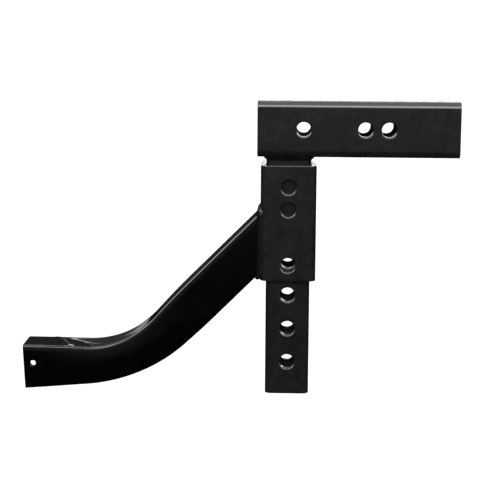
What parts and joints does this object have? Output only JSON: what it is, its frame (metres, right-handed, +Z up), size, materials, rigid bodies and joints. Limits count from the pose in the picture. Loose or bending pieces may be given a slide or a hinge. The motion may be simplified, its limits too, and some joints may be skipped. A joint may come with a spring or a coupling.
{
  "type": "adjustable hitch bar",
  "caption": "Height-adjustable tow hitch bar: a receiver-size head tube welded across a drilled post, and a drilled sleeve on the post that carries a bent square-tube arm.",
  "frame": {"origin": "on the ground under the middle of the whole object's bounding box", "axes": "+X along the head tube, away from the bent arm; +Y through the pin holes, away from the viewer; +Z up along the post"},
  "size_m": [0.5, 0.0636, 0.3393],
  "materials": {
    "frame_coat": "satin black powder coat over square steel tube",
    "arm_coat": "semi-gloss black coat over bent steel tube",
    "weld_coat": "black coat over weld beads"
  },
  "bodies": {
    "carrier": {"head_tube": "frame_coat", "post_tube": "frame_coat", "post_weld_right": "weld_coat", "post_weld_back": "weld_coat", "post_weld_left": "weld_coat", "post_weld_front": "weld_coat"},
    "slider": {"height_sleeve": "frame_coat", "bent_arm": "arm_coat", "arm_weld_back": "weld_coat", "arm_weld_upper": "weld_coat", "arm_weld_front": "weld_coat", "arm_weld_lower": "weld_coat"}
  },
  "joints": [
    {"name": "height_adjust", "type": "slide", "parent": "carrier", "child": "slider", "axis": [0, 0, 1], "range_m": [-0.2036, 0.0039]}
  ]
}
